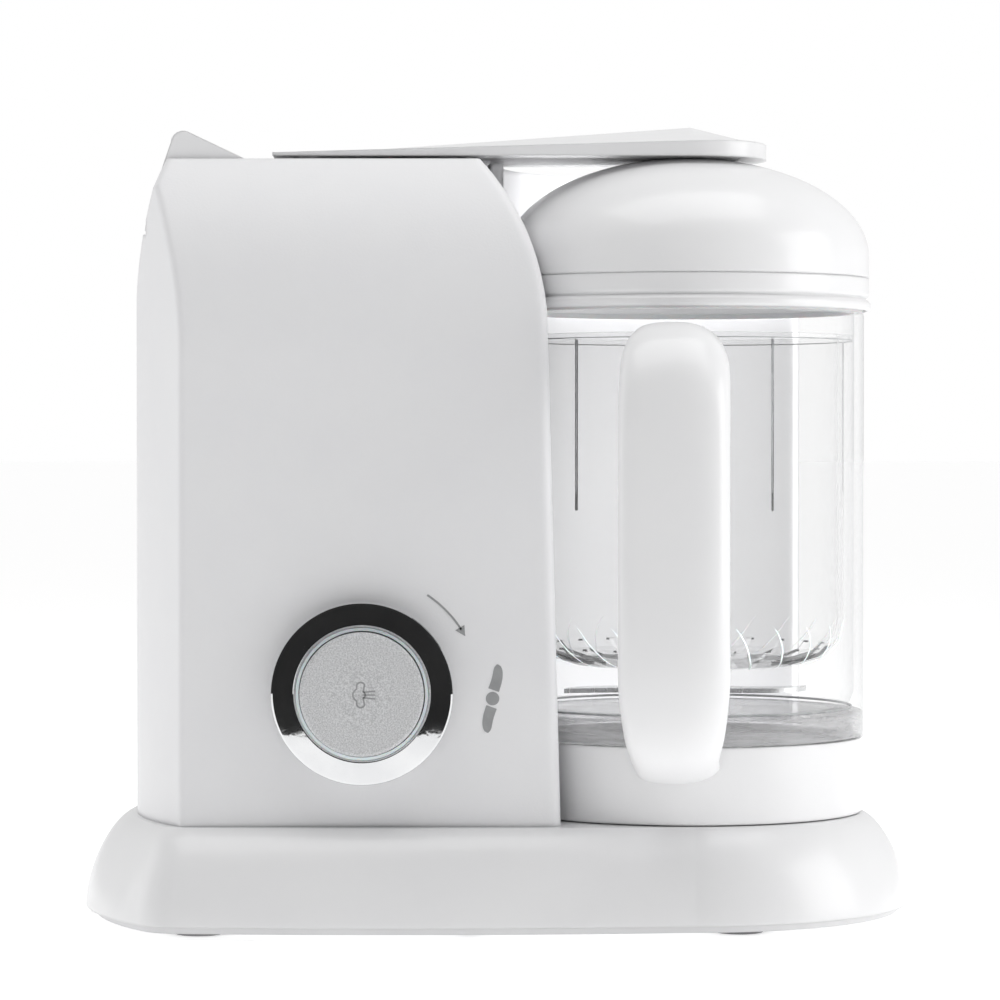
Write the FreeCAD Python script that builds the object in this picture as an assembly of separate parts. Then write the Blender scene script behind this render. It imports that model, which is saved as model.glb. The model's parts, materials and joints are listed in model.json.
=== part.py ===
import FreeCAD, Part
import math
import os

os.makedirs("parts", exist_ok=True)

# Baby food maker: a steam boiler and blender motor in a tower, beside a clear jug on a plinth.
# Millimetres, +Z up, origin at the bottom centre of the whole machine.

# Plinth
base_foot_z = 3.7          # lower edge of the flared skirt
base_top_z = 31.6          # flat top that the tower and the jug stand on
base_flare = 14.3          # how far the skirt swells out below the top
base_wall = 2.4
base_corner = 6.0          # how far each left corner is rounded off

# Jug axis and its stack of parts
bowl_x = 58.7
bowl_y = 11.5
collar_r = 54.1
collar_top_z = 54.9
glass_r = 54.8
glass_wall = 3.0
glass_floor_z = 63.5
glass_rim_z = 185.0
lid_r = 56.4
lid_low_z = 185.9
lid_top_z = 232.2

# Tower
tower_front_y = -43.5
tower_back_y = 75.0
tower_top_z = 231.0
tower_wall = 2.6
nest_r = 57.8              # hollow wall that the jug stands in
nest_wall = 3.8
tower_split_y = 6.0        # seam between the front cover and the rear shell
edge_round = 3.2           # softened right edge of the front face
rear_round = 9.0           # upright rear corner beside the jug

# Arm over the lid
arm_low_z = 232.5
arm_half_width = 24.7
arm_tip_x = -68.0
hinge_x = -65.0
hinge_z = 228.6
hinge_pin_r = 1.6

# Release lever at the back of the arm
lever_front_y = -18.0
lever_back_y = 41.0
lever_low_z = 209.0
lever_pin_x = -99.5
lever_pin_z = 214.5
lever_pin_r = 1.5

# Control knob
knob_x = -39.6
knob_z = 71.5
knob_ring_r = 26.9
knob_front_y = -53.5
button_r = 18.25

# Motor and belt drive
motor_x = -42.0
motor_y = 38.0
motor_r = 25.0
belt_low_z = 12.0
belt_high_z = 18.0
small_pulley_r = 8.0
large_pulley_r = 24.0
belt_gap = 0.2
belt_thick = 1.6

# Steam boiler
boiler_x = -33.0
boiler_y = 11.5
boiler_r = 26.0
filler_r = 13.0

# Handle
handle_turn = -5.0         # degrees from straight front, towards the tower
handle_out_r = 97.0
handle_half_width = 16.0


def vec(x, y, z):
    return FreeCAD.Vector(x, y, z)


def export(name, shape):
    shape.exportStep("parts/" + name + ".step")


def group(shapes):
    return Part.makeCompound(shapes)


def box(x0, x1, y0, y1, z0, z1):
    return Part.makeBox(x1 - x0, y1 - y0, z1 - z0, vec(x0, y0, z0))


def rod_z(r, z0, z1, x, y):
    return Part.makeCylinder(r, z1 - z0, vec(x, y, z0), vec(0, 0, 1))


def rod_y(r, y0, y1, x, z):
    return Part.makeCylinder(r, y1 - y0, vec(x, y0, z), vec(0, 1, 0))


def ring_z(outer, inner, z0, z1, x, y):
    return rod_z(outer, z0, z1, x, y).cut(rod_z(inner, z0 - 1, z1 + 1, x, y))


def ring_y(outer, inner, y0, y1, x, z):
    return rod_y(outer, y0, y1, x, z).cut(rod_y(inner, y0 - 1, y1 + 1, x, z))


def line(a, b):
    return Part.LineSegment(a, b).toShape()


def arc(a, b, c):
    return Part.Arc(a, b, c).toShape()


def solid_up(edges, height):
    return Part.Face(Part.Wire(edges)).extrude(vec(0, 0, height))


def turned(points, x, y):
    """A solid of revolution about a vertical axis, from (radius, height) points."""
    corners = [vec(x + r, y, z) for r, z in points]
    outline = Part.makePolygon(corners + corners[:1])
    return Part.Face(outline).revolve(vec(x, y, 0), vec(0, 0, 1), 360)


def turned_y(points, x, z):
    """A solid of revolution about a front-to-back axis, from (radius, depth) points."""
    corners = [vec(x + r, y, z) for r, y in points]
    outline = Part.makePolygon(corners + corners[:1])
    return Part.Face(outline).revolve(vec(x, 0, z), vec(0, 1, 0), 360)


def on_bowl(shape, degrees):
    """Turn a shape about the jug's axis."""
    copy = shape.copy()
    copy.rotate(vec(bowl_x, bowl_y, 0), vec(0, 0, 1), degrees)
    return copy


def sector(degrees_from, degrees_to, reach, z0, z1):
    """A wedge about the jug's axis, in degrees anticlockwise from +X."""
    middle = math.radians((degrees_from + degrees_to) / 2)
    first = math.radians(degrees_from)
    last = math.radians(degrees_to)
    centre = vec(bowl_x, bowl_y, z0)
    places = []
    for angle in (first, middle, last):
        places.append(vec(bowl_x + reach * math.cos(angle), bowl_y + reach * math.sin(angle), z0))
    edges = [line(centre, places[0]), arc(places[0], places[1], places[2]), line(places[2], centre)]
    return solid_up(edges, z1 - z0)


# ---------------------------------------------------------------- plinth

def along(edge, share):
    """The point at a share of an edge's length."""
    place = edge.getParameterByLength(edge.Length * share)
    return edge.valueAt(place)


def shortened(edge, from_start, from_end):
    """The same arc without a stretch at each end."""
    first = from_start / edge.Length
    last = 1.0 - from_end / edge.Length
    return arc(along(edge, first), along(edge, (first + last) / 2), along(edge, last))


def corner_arc(before, after, corner):
    """A small arc that rounds the corner between two shortened edges."""
    start = before.valueAt(before.LastParameter)
    end = after.valueAt(after.FirstParameter)
    chord_middle = (start + end) * 0.5
    return arc(start, chord_middle * 0.55 + corner * 0.45, end)


def base_outline(grow, z):
    """Plan of the plinth: round about the jug, bowed in front, curved at the left end."""
    corner_x = -97.0 - 0.28 * grow
    left_x = -112.7 - grow
    front_y = tower_front_y - 1.0 - grow
    front_r = 54.0 + grow
    rear_r = 69.5 + grow * 5.5 / base_flare
    right_x = bowl_x + front_r
    rear_x = right_x - rear_r
    back_y = bowl_y + rear_r
    slant = math.sqrt(0.5)
    left_front = vec(corner_x, front_y, z)
    left_back = vec(corner_x, back_y - 3.0, z)
    jug_front = vec(bowl_x, bowl_y - front_r, z)
    right = vec(right_x, bowl_y, z)
    back = vec(rear_x, back_y, z)
    trim = base_corner
    front = shortened(arc(left_front, vec(-25.0, front_y - 3.2, z), jug_front), trim, 0.0)
    rear = line(back, left_back + (back - left_back).normalize() * trim)
    left = shortened(arc(left_back, vec(left_x, 14.0, z), left_front), trim, trim)
    return Part.Wire([
        front,
        arc(jug_front, vec(bowl_x + front_r * slant, bowl_y - front_r * slant, z), right),
        arc(right, vec(rear_x + rear_r * slant, bowl_y + rear_r * slant, z), back),
        rear,
        corner_arc(rear, left, left_back),
        left,
        corner_arc(left, front, left_front),
    ])


def base_solid(inset):
    """The swelling plinth, or its hollow when inset by the wall."""
    rise = base_top_z - inset - base_foot_z
    sections = []
    for share in (0.0, 0.2, 0.4, 0.6, 0.8, 0.92, 1.0):
        swell = base_flare * (1.0 - share ** 1.7) ** 0.65
        sections.append(base_outline(swell - inset, base_foot_z + rise * share))
    return Part.makeLoft(sections, True, False)


def base_shell():
    hollow = base_solid(base_wall)
    shell = base_solid(0.0).cut(hollow)
    shell = shell.cut(rod_z(17.0, 20, 40, bowl_x, bowl_y))
    shell = shell.cut(box(-80, -15, 2, 60, 20, 40))
    shell = shell.cut(rod_z(1.8, 20, 40, 22, bowl_y))
    shell = shell.cut(rod_y(6.1, 60, 95, -60.0, 15.0))
    return shell


def bottom_plate():
    plate = Part.Face(base_outline(base_flare - 3.0, 1.6)).extrude(vec(0, 0, 2.1))
    for row in range(7):
        x = motor_x - 18 + row * 6
        plate = plate.cut(box(x - 1.2, x + 1.2, motor_y - 14, motor_y + 14, 0, 6))
    return plate


foot_places = ((-88.0, -42.0), (-88.0, 66.0), (72.0, -38.0), (72.0, 62.0))


def rubber_feet():
    feet = []
    for x, y in foot_places:
        feet.append(turned([(0, 0), (7.2, 0), (8.5, 1.6), (0, 1.6)], x, y))
    return group(feet)


def case_screws():
    screws = []
    for x, y in ((-100.0, 14.0), (-8.0, -46.0), (-8.0, 74.0), (104.0, 14.0)):
        screw = rod_z(3.2, 0.9, 1.6, x, y).cut(box(x - 2, x + 2, y - 0.4, y + 0.4, 0.5, 1.25))
        screws.append(screw)
    return group(screws)


def cord_gland():
    gland = turned_y([(3.2, 75.5), (9.0, 75.5), (9.0, 79.3), (6.0, 79.3), (6.0, 85.4), (5.2, 86.0), (3.2, 86.0)],
                     -60.0, 15.0)
    return gland


# ---------------------------------------------------------------- tower

def tower_plan(inset):
    """Plan block: flat front and back, left end a shallow arc."""
    front = tower_front_y + inset
    back = tower_back_y - inset
    z = 0.0
    a = vec(-93.6 + inset * 0.8, front, z)
    b = vec(20.0, front, z)
    c = vec(20.0, back, z)
    d = vec(-93.6 + inset * 0.8, back, z)
    edges = [line(a, b), line(b, c), line(c, d), arc(d, vec(-111.5 + inset, 15.0, z), a)]
    return solid_up(edges, 260.0)


def tower_side(inset):
    """Seen from the side: upright faces that curve inwards towards the top."""
    front = tower_front_y + inset
    back = tower_back_y - inset
    top = tower_top_z - inset
    x = -130.0
    bend_z = 172.0
    bend_r = 87.2
    half = math.radians(21.3)
    front_mid = vec(x, front + bend_r * (1 - math.cos(half)), bend_z + bend_r * math.sin(half) - inset / 2)
    front_top = vec(x, front + 23.0, top)
    back_mid = vec(x, back - 4.8, 213.0)
    back_top = vec(x, back - 17.0, top)
    edges = [
        line(vec(x, front, base_top_z), vec(x, front, bend_z)),
        arc(vec(x, front, bend_z), front_mid, front_top),
        line(front_top, back_top),
        arc(back_top, back_mid, vec(x, back, 190.0)),
        line(vec(x, back, 190.0), vec(x, back, base_top_z)),
        line(vec(x, back, base_top_z), vec(x, front, base_top_z)),
    ]
    return Part.Face(Part.Wire(edges)).extrude(vec(260, 0, 0))


def tower_face(inset):
    """Seen from the front: left edge leaning in at the top, right edge sweeping over."""
    y = -80.0
    top = tower_top_z - inset
    left = -112.5 + inset
    edges = [
        line(vec(left, y, base_top_z), vec(left, y, 165.0)),
        arc(vec(left, y, 165.0), vec(-108.8 + inset, y, 201.0), vec(-99.5 + inset, y, top)),
        line(vec(-99.5 + inset, y, top), vec(-5.0 - inset, y, top)),
        arc(vec(-5.0 - inset, y, top), vec(8.4 - inset, y, 210.0), vec(15.0 - inset, y, 184.0)),
        line(vec(15.0 - inset, y, 184.0), vec(19.0 - inset, y, base_top_z)),
        line(vec(19.0 - inset, y, base_top_z), vec(left, y, base_top_z)),
    ]
    return Part.Face(Part.Wire(edges)).extrude(vec(0, 200, 0))


def nest_top():
    """Everything below the sweeping top edge of the wall behind the jug."""
    y = 0.0
    high = tower_top_z
    edges = [
        line(vec(-60, y, base_top_z), vec(-60, y, high)),
        line(vec(-60, y, high), vec(24, y, high)),
        arc(vec(24, y, high), vec(66, y, 221), vec(104, y, 192)),
        line(vec(104, y, 192), vec(104, y, base_top_z)),
        line(vec(104, y, base_top_z), vec(-60, y, base_top_z)),
    ]
    return Part.Face(Part.Wire(edges)).extrude(vec(0, 120, 0))


def nest_shell():
    """The curved wall that wraps behind the jug."""
    wall = ring_z(nest_r + nest_wall, nest_r, base_top_z, tower_top_z, bowl_x, bowl_y)
    wall = wall.common(sector(51, 232, 90, 0, 250))
    left = wall.common(sector(140, 232, 90, 0, 250)).common(tower_side(0.0))
    left = left.common(tower_face(0.0).fuse(box(-5, 60, 0, 120, base_top_z, tower_top_z)))
    rear = wall.common(sector(51, 140, 90, 0, 250)).common(nest_top())
    return left.fuse(rear)


def tower_block(inset):
    return tower_plan(inset).common(tower_side(inset)).common(tower_face(inset))


def rear_shoulder(inset):
    """The part of the tower that fills the corner behind the jug."""
    block = tower_plan(0.0).common(tower_side(inset))
    block = block.common(box(-30, 20 - inset, 30, 100, base_top_z, tower_top_z - inset))
    fill = rod_z(nest_r + nest_wall - inset, base_top_z, tower_top_z - inset, bowl_x, bowl_y)
    return block.fuse(fill.common(sector(115, 160, 90, 0, 250)).common(tower_side(inset)))


def front_edges(block):
    """The swept right edge, and the upright left edge, of the front face."""
    right = []
    left = []
    for edge in block.Edges:
        limits = edge.BoundBox
        in_front = limits.YMax < -20 and limits.ZLength > 7
        if in_front and limits.XMin > -5.5 and limits.YMin < -42 and limits.ZLength > 10:
            right.append(edge)
        if in_front and limits.XMax < -93:
            left.append(edge)
    return right, left


def rounded_block(block):
    """Soften the front face's edges, and the rear corner beside the jug."""
    block = block.makeFillet(edge_round, front_edges(block)[0])
    block = block.makeFillet(2.0, front_edges(block)[1])
    corner = box(20 - rear_round, 21, tower_back_y - rear_round, tower_back_y + 1, 0, 260)
    corner = corner.cut(rod_z(rear_round, 0, 260, 20 - rear_round, tower_back_y - rear_round))
    return block.cut(corner)


def tower_shell():
    outer = tower_block(0.0).fuse(rear_shoulder(0.0))
    outer = outer.cut(rod_z(nest_r, 0, 260, bowl_x, bowl_y)).removeSplitter()
    outer = rounded_block(outer)
    inner = tower_block(tower_wall)
    inner = inner.cut(rod_z(nest_r + nest_wall, 0, 260, bowl_x, bowl_y))
    under = box(-120, 40, -60, 100, base_top_z - 1, base_top_z + 0.01)
    shell = outer.cut(inner).cut(under)
    return shell.fuse(nest_shell()).removeSplitter()


deck_low_z = tower_top_z - tower_wall


def deck_opening():
    return box(-74, -8, -15, 38, deck_low_z - 1, tower_top_z + 1)


def lever_notch():
    return box(-125, -75.2, lever_front_y - 0.4, lever_back_y + 0.4, lever_low_z - 0.7, 260)


def knob_hole():
    return rod_y(11.1, tower_front_y - 2, tower_front_y + 8, knob_x, knob_z)


def tower_covers():
    shell = tower_shell()
    shell = shell.cut(deck_opening()).cut(lever_notch()).cut(knob_hole())
    front = shell.common(box(-130, 130, -90, tower_split_y, 0, 260))
    rear = shell.common(box(-130, 130, tower_split_y, 120, 0, 260))
    return front, rear


def hinge_pocket():
    return box(-72, -55, -14, 37, 221.5, tower_top_z + 1)


def tower_deck():
    """Top plate, with the water filler hole and the pocket for the arm's hinge."""
    plate = deck_opening().common(box(-80, 0, -20, 60, deck_low_z, tower_top_z))
    tray = box(-73.5, -53.5, -14.9, 37.9, 219.5, deck_low_z)
    plate = plate.fuse(tray).cut(hinge_pocket())
    plate = plate.cut(rod_z(filler_r + 2.6, 200, 240, boiler_x, boiler_y))
    plate = plate.cut(rod_y(hinge_pin_r, -20, 40, hinge_x, hinge_z))
    return plate


def arm_hinge_pin():
    return rod_y(hinge_pin_r, -14.8, 37.8, hinge_x, hinge_z)


# ---------------------------------------------------------------- release lever

def lever_outline(y):
    return Part.Wire([
        arc(vec(-106.4, y, lever_low_z + 0.4), vec(-103.0, y, 222.0), vec(-98.4, y, 236.0)),
        arc(vec(-98.4, y, 236.0), vec(-96.6, y, 239.0), vec(-93.2, y, 239.3)),
        line(vec(-93.2, y, 239.3), vec(-75.8, y, tower_top_z)),
        line(vec(-75.8, y, tower_top_z), vec(-75.8, y, 227.0)),
        line(vec(-75.8, y, 227.0), vec(-88.0, y, 224.0)),
        line(vec(-88.0, y, 224.0), vec(-99.0, y, lever_low_z)),
        line(vec(-99.0, y, lever_low_z), vec(-106.4, y, lever_low_z + 0.4)),
    ])


def release_lever():
    width = lever_back_y - lever_front_y
    lever = Part.Face(lever_outline(lever_front_y)).extrude(vec(0, width, 0))
    lever = lever.common(tower_plan(0.0))
    return lever.cut(rod_y(lever_pin_r + 0.05, -30, 60, lever_pin_x, lever_pin_z))


def lever_pin():
    return rod_y(lever_pin_r, lever_front_y, lever_back_y, lever_pin_x, lever_pin_z)


def lever_spring():
    return ring_z(3.0, 2.0, 212.0, 223.0, -87.5, 11.5).common(box(-100, -84, 0, 20, 212, 219.6))


# ---------------------------------------------------------------- arm

def arm_section(x, edge_height, ridge_height):
    near = bowl_y - arm_half_width - 1
    far = bowl_y + arm_half_width + 1
    return Part.makePolygon([
        vec(x, near, arm_low_z), vec(x, far, arm_low_z),
        vec(x, far, arm_low_z + edge_height), vec(x, bowl_y, arm_low_z + ridge_height),
        vec(x, near, arm_low_z + edge_height), vec(x, near, arm_low_z),
    ])


def arm_plan(inset):
    reach = arm_half_width - inset
    near = bowl_y - reach
    far = bowl_y + reach
    z = arm_low_z - 1
    tip = arm_tip_x + inset
    edges = [
        line(vec(tip, near, z), vec(bowl_x, near, z)),
        arc(vec(bowl_x, near, z), vec(bowl_x + reach, bowl_y, z), vec(bowl_x, far, z)),
        line(vec(bowl_x, far, z), vec(tip, far, z)),
        line(vec(tip, far, z), vec(tip, near, z)),
    ]
    return solid_up(edges, 20)


def arm_cover():
    rise = Part.makeLoft([arm_section(arm_tip_x - 1, 0.9, 1.4), arm_section(60, 4.3, 10.4)], True, True)
    fall = Part.makeLoft([arm_section(60, 4.3, 10.4), arm_section(84, 4.3, 4.5)], True, True)
    cover = rise.fuse(fall).common(arm_plan(0.0))
    cover = cover.cut(box(-20, 74, bowl_y - 15, bowl_y + 15, arm_low_z - 1, arm_low_z + 2.2))
    cover = cover.cut(box(boiler_x - 7, -20, bowl_y - 6, bowl_y + 6, arm_low_z - 1, arm_low_z + 1.2))
    return cover


def arm_lugs():
    """Two ears that reach down to the hinge pin, on a plate under the cover."""
    ears = []
    for y in (-5.0, 24.0):
        ear = rod_y(3.8, y, y + 5, hinge_x, hinge_z)
        ear = ear.fuse(box(hinge_x - 2.9, hinge_x + 2.9, y, y + 5, hinge_z, arm_low_z))
        ears.append(ear.cut(rod_y(hinge_pin_r + 0.05, y - 1, y + 6, hinge_x, hinge_z)))
    return group(ears)


def arm_plate():
    plate = box(-19.8, 73.8, bowl_y - 14.8, bowl_y + 14.8, arm_low_z, arm_low_z + 1.2)
    return plate.cut(rod_z(5, 230, 240, bowl_x, bowl_y))


def steam_channel():
    z0 = arm_low_z + 1.2
    return box(-19.8, bowl_x, bowl_y - 6, bowl_y + 6, z0, z0 + 0.9)


# ---------------------------------------------------------------- boiler

def boiler_body():
    """Steel pot with a neck that rises to the filler hole."""
    outer = turned([(0, 150), (boiler_r, 150), (boiler_r, 196), (filler_r + 1.2, 208),
                    (filler_r + 1.2, 226), (0, 226)], boiler_x, boiler_y)
    inner = turned([(0, 152), (boiler_r - 1.6, 152), (boiler_r - 1.6, 195.2), (filler_r, 207.2),
                    (filler_r, 228), (0, 228)], boiler_x, boiler_y)
    return outer.cut(inner)


def filler_gasket():
    return ring_z(filler_r + 2.6, filler_r, 226, tower_top_z + 0.6, boiler_x, boiler_y)


def heating_element():
    ring = Part.makeTorus(19, 2.6, vec(boiler_x, boiler_y, 147.3))
    posts = [rod_z(1.6, 136, 146, boiler_x + x, boiler_y + 19 * 0.95) for x in (-5, 5)]
    return ring.fuse(posts)


def thermostat():
    return rod_z(7, 144, 150, boiler_x, boiler_y).fuse(box(boiler_x - 4, boiler_x + 4, 8, 15, 139, 144))


def boiler_bracket():
    hoop = ring_z(boiler_r + 1.6, boiler_r, 168, 178, boiler_x, boiler_y)
    foot = box(boiler_x - 6, boiler_x + 6, boiler_y + boiler_r + 1, tower_back_y - tower_wall, 168, 178)
    return hoop.fuse(foot)


# ---------------------------------------------------------------- motor and belt

def motor_housing():
    can = ring_z(motor_r, motor_r - 2.2, 44, 104, motor_x, motor_y)
    lid = ring_z(motor_r, 5.2, 104, 106.5, motor_x, motor_y)
    floor = ring_z(motor_r, 5.2, 41.5, 44, motor_x, motor_y)
    return can.fuse([lid, floor])


def motor_stator():
    return ring_z(motor_r - 2.2, 15.5, 58, 92, motor_x, motor_y)


def motor_plate():
    plate = box(-74, -10, 4, 70, 37.5, 41.5).cut(rod_z(9, 30, 50, motor_x, motor_y))
    legs = [rod_z(4, base_top_z, 37.5, x, y) for x, y in ((-86, 62), (-12, 62), (-86, -12), (-12, -12))]
    plate = plate.fuse(box(-90, -8, 58, 66, 37.5, 41.5)).fuse(box(-90, -8, -16, 4, 37.5, 41.5))
    return plate.fuse(legs)


def motor_bushes():
    low = ring_z(5.2, 3.04, 41.5, 47.5, motor_x, motor_y)
    high = ring_z(5.2, 3.04, 101, 106.5, motor_x, motor_y)
    return group([low, high])


def armature():
    return ring_z(15.0, 3.0, 58, 92, motor_x, motor_y)


def motor_shaft():
    return rod_z(3.0, 9, 109, motor_x, motor_y)


def commutator():
    return ring_z(7.0, 3.0, 94, 100.5, motor_x, motor_y)


def motor_fan():
    fan = ring_z(8.0, 3.0, 49, 56, motor_x, motor_y)
    for step in range(8):
        blade = box(motor_x + 7, motor_x + 20, motor_y - 0.6, motor_y + 0.6, 49, 56)
        blade.rotate(vec(motor_x, motor_y, 0), vec(0, 0, 1), step * 45)
        fan = fan.fuse(blade)
    return fan


def pulley(radius, bore, x, y):
    """Grooved wheel with a flange either side of the belt."""
    flange = radius + 1.4
    return turned([(bore, belt_low_z - 1.6), (flange, belt_low_z - 1.6), (flange, belt_low_z - 0.4),
                   (radius, belt_low_z - 0.4), (radius, belt_high_z + 0.4), (flange, belt_high_z + 0.4),
                   (flange, belt_high_z + 1.6), (bore, belt_high_z + 1.6)], x, y)


def belt_loop(extra):
    """Outline around both pulleys, as two arcs and their two tangents."""
    small = small_pulley_r + belt_gap + extra
    large = large_pulley_r + belt_gap + extra
    run = math.hypot(bowl_x - motor_x, bowl_y - motor_y)
    lean = math.atan2(bowl_y - motor_y, bowl_x - motor_x)
    open_angle = math.acos((small - large) / run)
    top = lean + open_angle
    low = lean - open_angle

    def at(x, y, r, angle):
        return vec(x + r * math.cos(angle), y + r * math.sin(angle), belt_low_z)

    edges = [
        arc(at(motor_x, motor_y, small, top), at(motor_x, motor_y, small, lean + math.pi),
            at(motor_x, motor_y, small, low)),
        line(at(motor_x, motor_y, small, low), at(bowl_x, bowl_y, large, low)),
        arc(at(bowl_x, bowl_y, large, low), at(bowl_x, bowl_y, large, lean), at(bowl_x, bowl_y, large, top)),
        line(at(bowl_x, bowl_y, large, top), at(motor_x, motor_y, small, top)),
    ]
    return solid_up(edges, belt_high_z - belt_low_z)


def drive_belt():
    return belt_loop(belt_thick).cut(belt_loop(0.0))


# ---------------------------------------------------------------- drive under the jug

def bearing_housing():
    """Cup that hangs below the plinth top and carries the spindle."""
    cup = turned([(8.0, 21.0), (12.0, 21.0), (12.0, 26.6), (24.0, 26.6), (24.0, 29.1),
                  (16.9, 29.1), (16.9, base_top_z + 1.0), (8.0, base_top_z + 1.0)], bowl_x, bowl_y)
    return cup


def spindle_bearing():
    return ring_z(8.0, 4.05, 21.4, 31.4, bowl_x, bowl_y)


def spindle():
    return rod_z(4.0, 7.0, 36.5, bowl_x, bowl_y)


def star(points, tip, root, z0, z1):
    """A splined dog with rounded-off straight teeth."""
    corners = []
    for step in range(points * 2):
        radius = tip if step % 2 == 0 else root
        angle = math.pi * step / points
        corners.append(vec(bowl_x + radius * math.cos(angle), bowl_y + radius * math.sin(angle), z0))
    outline = Part.makePolygon(corners + corners[:1])
    return Part.Face(outline).extrude(vec(0, 0, z1 - z0))


def drive_dog():
    dog = star(6, 8.0, 6.0, 36.5, 44.0)
    return dog.fuse(rod_z(6.0, 33.5, 36.5, bowl_x, bowl_y)).cut(rod_z(4.0, 33, 36.5, bowl_x, bowl_y))


def driven_dog():
    cup = rod_z(11.0, 37.0, 47.0, bowl_x, bowl_y)
    return cup.cut(star(6, 8.5, 6.5, 36.0, 44.5))


def bowl_seat():
    """Raised ring on the plinth, with three ears that hold the jug down."""
    seat = ring_z(46.0, 43.0, base_top_z, 41.0, bowl_x, bowl_y)
    for step in range(3):
        ear = ring_z(49.5, 45.5, 38.0, 41.0, bowl_x, bowl_y)
        seat = seat.fuse(ear.common(sector(60 + step * 120, 85 + step * 120, 70, 30, 50)))
    return seat


# ---------------------------------------------------------------- jug

def bowl_collar():
    """White foot of the jug: skirt, web that seats the glass and three locking ears."""
    ring = ring_z(collar_r, collar_r - 2.6, base_top_z + 0.4, collar_top_z, bowl_x, bowl_y)
    web = ring_z(collar_r - 2.0, 8.4, 50.5, 52.9, bowl_x, bowl_y)
    boss = ring_z(13.5, 8.4, 48.0, 51.0, bowl_x, bowl_y)
    collar = ring.fuse([web, boss])
    for step in range(3):
        ear = ring_z(collar_r - 2.0, 46.6, 33.6, 37.2, bowl_x, bowl_y)
        collar = collar.fuse(ear.common(sector(62 + step * 120, 84 + step * 120, 70, 30, 50)))
    return collar


def bowl_glass():
    outer = turned([(0, 52.9), (50.4, 52.9), (50.4, collar_top_z), (glass_r, collar_top_z),
                    (glass_r, glass_rim_z), (0, glass_rim_z)], bowl_x, bowl_y)
    inner_r = glass_r - glass_wall
    inner = turned([(0, glass_floor_z), (inner_r - 5, glass_floor_z), (inner_r - 1.5, glass_floor_z + 1.5),
                    (inner_r, glass_floor_z + 5), (inner_r, 200), (0, 200)], bowl_x, bowl_y)
    return outer.cut(inner).cut(rod_z(8.4, 40, 70, bowl_x, bowl_y))


def blade_bush():
    bush = ring_z(8.4, 4.05, 49.0, glass_floor_z, bowl_x, bowl_y)
    return bush.fuse(ring_z(12.0, 4.05, glass_floor_z, glass_floor_z + 2.5, bowl_x, bowl_y))


def blade_shaft():
    return rod_z(4.0, 47.0, 70.5, bowl_x, bowl_y)


def blade_hub():
    return turned([(0, 70.5), (6.5, 70.5), (5.6, 74), (3.0, 75.9), (0, 76.2)], bowl_x, bowl_y)


def blade():
    """Flat cutter with two swept arms."""
    arms = []
    for turn in (0.0, 180.0):
        z = 68.2
        edges = [
            line(vec(bowl_x + 3, bowl_y - 6, z), vec(bowl_x + 24, bowl_y - 7, z)),
            arc(vec(bowl_x + 24, bowl_y - 7, z), vec(bowl_x + 34, bowl_y - 2, z), vec(bowl_x + 38, bowl_y + 8, z)),
            arc(vec(bowl_x + 38, bowl_y + 8, z), vec(bowl_x + 26, bowl_y + 5, z), vec(bowl_x + 3, bowl_y + 6, z)),
            line(vec(bowl_x + 3, bowl_y + 6, z), vec(bowl_x + 3, bowl_y - 6, z)),
        ]
        arms.append(on_bowl(solid_up(edges, 1.4), turn))
    plate = rod_z(8.5, 68.2, 69.6, bowl_x, bowl_y).fuse(arms)
    return plate.cut(rod_z(4.0, 60, 75, bowl_x, bowl_y))


def blade_spacer():
    low = ring_z(7.0, 4.0, glass_floor_z + 2.8, 68.2, bowl_x, bowl_y)
    high = ring_z(7.0, 4.0, 69.6, 70.5, bowl_x, bowl_y)
    return group([low, high])


# ---------------------------------------------------------------- handle

def handle_outline(x):
    """Side view of the bow: out from the rim, down, and back into the collar."""
    def at(r, z):
        return vec(x, bowl_y - r, z)

    out = handle_out_r
    return Part.Wire([
        line(at(55.0, 181.0), at(76.0, 180.5)),
        arc(at(76.0, 180.5), at(90.0, 176.0), at(out - 1.8, 162.0)),
        arc(at(out - 1.8, 162.0), at(out, 118.0), at(out - 2.5, 66.0)),
        arc(at(out - 2.5, 66.0), at(91.0, 53.5), at(80.0, 48.5)),
        line(at(80.0, 48.5), at(53.9, 45.0)),
        line(at(53.9, 45.0), at(53.9, 54.5)),
        line(at(53.9, 54.5), at(66.0, 57.0)),
        arc(at(66.0, 57.0), at(74.0, 61.5), at(78.5, 72.0)),
        arc(at(78.5, 72.0), at(80.5, 115.0), at(78.5, 154.0)),
        arc(at(78.5, 154.0), at(75.0, 162.0), at(66.0, 165.5)),
        line(at(66.0, 165.5), at(55.0, 166.5)),
        line(at(55.0, 166.5), at(55.0, 181.0)),
    ])


def handle_front():
    """Seen from the front: a bar with round ends."""
    half = handle_half_width
    low = 46.5
    high = 181.0
    y = -100.0
    crown = 13.0
    left = bowl_x - half
    right = bowl_x + half
    edges = [
        line(vec(left, y, low + crown), vec(left, y, high - crown)),
        arc(vec(left, y, high - crown), vec(bowl_x, y, high), vec(right, y, high - crown)),
        line(vec(right, y, high - crown), vec(right, y, low + crown)),
        arc(vec(right, y, low + crown), vec(bowl_x, y, low), vec(left, y, low + crown)),
    ]
    return Part.Face(Part.Wire(edges)).extrude(vec(0, 80, 0))


def handle_bow():
    bow = Part.Face(handle_outline(bowl_x - handle_half_width)).extrude(vec(2 * handle_half_width, 0, 0))
    bow = bow.common(handle_front())
    bow = bow.cut(rod_z(glass_r, 40, 200, bowl_x, bowl_y))
    return bow


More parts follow.
